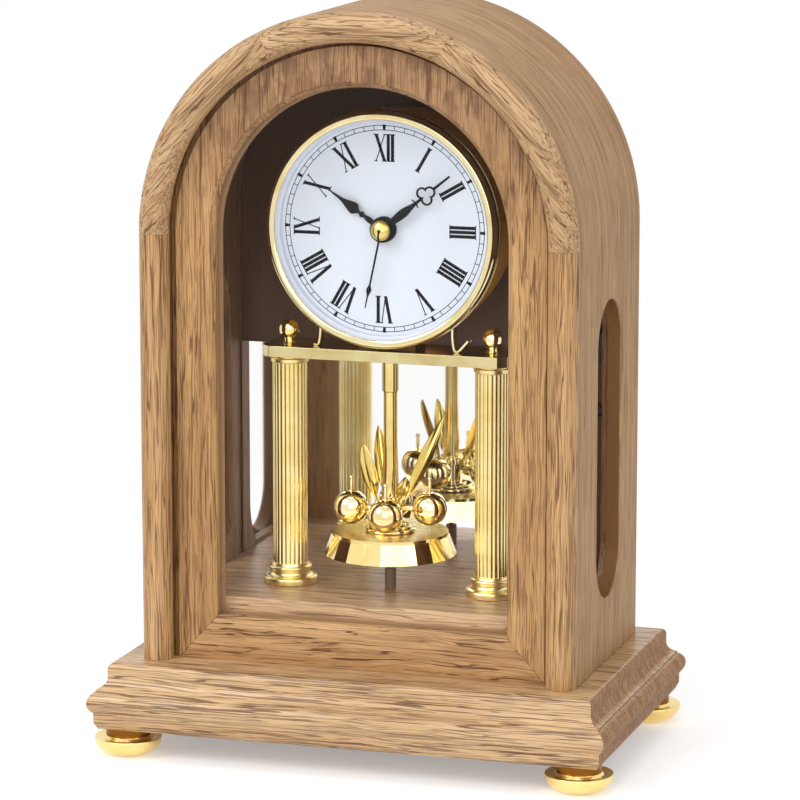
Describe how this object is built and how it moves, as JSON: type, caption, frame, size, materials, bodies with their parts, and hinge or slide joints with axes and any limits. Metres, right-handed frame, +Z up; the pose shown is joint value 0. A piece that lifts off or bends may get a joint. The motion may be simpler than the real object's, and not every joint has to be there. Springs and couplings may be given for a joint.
{
  "type": "table clock",
  "caption": "Arched oak table clock with front glass, side windows, mirror back and a turning ball pendulum under a drum dial on a columned brass stand.",
  "frame": {"origin": "on the table, under the middle of the plinth", "axes": "+Z up, the dial looks toward -Y, +X to the right of someone who looks at the dial from the front"},
  "size_m": [0.215, 0.139, 0.301],
  "materials": {
    "oak": "satin lacquered oak, straight grain",
    "oak_veneer": "satin lacquered oak veneer, greyer",
    "oak_inside": "satin lacquered oak, in shade",
    "satin_brass": "satin brass",
    "polished_brass": "polished brass",
    "steel": "zinc plated",
    "clear_glass": "clear",
    "mirror_glass": "silvered glass",
    "gasket_rubber": "dark brown",
    "black_plastic": "matte",
    "white_enamel": "cool white, satin",
    "black_enamel": "black",
    "battery_jacket": "printed sleeve without print"
  },
  "bodies": {
    "case": {"plinth_board": "oak", "plinth_band": "oak", "feet": "satin_brass", "foot_screws": "steel", "case_shell": "oak_veneer", "case_lining": "oak_inside", "moulding_left": "oak", "moulding_right": "oak", "moulding_arch": "oak", "front_frame": "oak", "frame_rail": "oak", "front_glass": "clear_glass", "glass_gasket": "gasket_rubber", "floor_bearers": "oak_inside", "floor_board": "oak", "case_screws": "steel", "hinge_leaves_case": "polished_brass", "hinge_pins": "steel", "catch_magnet": "black_plastic", "column_left": "polished_brass", "column_right": "polished_brass", "column_bases": "polished_brass", "column_capitals": "polished_brass", "tie_rods": "steel", "tie_nuts": "steel", "top_plate": "polished_brass", "finials": "polished_brass", "drum_saddle": "polished_brass", "drum_clips": "polished_brass", "drum_case": "polished_brass", "bezel": "polished_brass", "lens": "clear_glass", "dial_ring": "white_enamel", "dial": "white_enamel", "movement": "black_plastic", "dial_nut": "polished_brass", "battery_contacts": "steel", "drive_unit": "black_plastic", "guide_post": "black_plastic"},
    "back_door": {"back_door": "oak_inside", "mirror": "mirror_glass", "hinge_leaves_door": "polished_brass", "door_knob": "polished_brass", "catch_plate": "steel"},
    "minute_hand": {"minute_hand": "black_enamel"},
    "hour_hand": {"hour_hand": "black_enamel"},
    "second_hand": {"second_hand": "black_enamel", "centre_cap": "polished_brass"},
    "set_knob": {"set_knob": "black_plastic"},
    "battery": {"battery": "battery_jacket"},
    "pendulum": {"pendulum_spindle": "steel", "pendulum_rod": "polished_brass", "pendulum_hub": "polished_brass", "hub_ring": "polished_brass", "pendulum_disc": "polished_brass", "pendulum_balls": "polished_brass", "ball_stems": "polished_brass", "pendulum_leaves": "polished_brass"}
  },
  "joints": [
    {"name": "back_door_hinge", "type": "hinge", "parent": "case", "child": "back_door", "pos_m": [-0.0854, 0.0517, 0.136], "axis": [0, 0, 1], "range_deg": [0, 105]},
    {"name": "minute_hand_turn", "type": "hinge", "parent": "case", "child": "minute_hand", "pos_m": [0, 0, 0.211], "axis": [0, 1, 0], "continuous": true},
    {"name": "hour_hand_turn", "type": "hinge", "parent": "case", "child": "hour_hand", "pos_m": [0, 0, 0.211], "axis": [0, 1, 0], "continuous": true},
    {"name": "second_hand_turn", "type": "hinge", "parent": "case", "child": "second_hand", "pos_m": [0, 0, 0.211], "axis": [0, 1, 0], "continuous": true},
    {"name": "set_knob_turn", "type": "hinge", "parent": "case", "child": "set_knob", "pos_m": [0.012, 0, 0.22], "axis": [0, 1, 0], "continuous": true},
    {"name": "battery_slide", "type": "slide", "parent": "case", "child": "battery", "axis": [0, 1, 0], "range_m": [0, 0.024]},
    {"name": "pendulum_turn", "type": "hinge", "parent": "case", "child": "pendulum", "pos_m": [0, -0.0015, 0.12], "axis": [0, 0, 1], "range_deg": [-170, 170]}
  ],
  "couplings": [
    {"joint": "hour_hand_turn", "follows": "minute_hand_turn", "ratio": 0.083333},
    {"joint": "second_hand_turn", "follows": "minute_hand_turn", "ratio": 60},
    {"joint": "set_knob_turn", "follows": "minute_hand_turn", "ratio": -1}
  ]
}
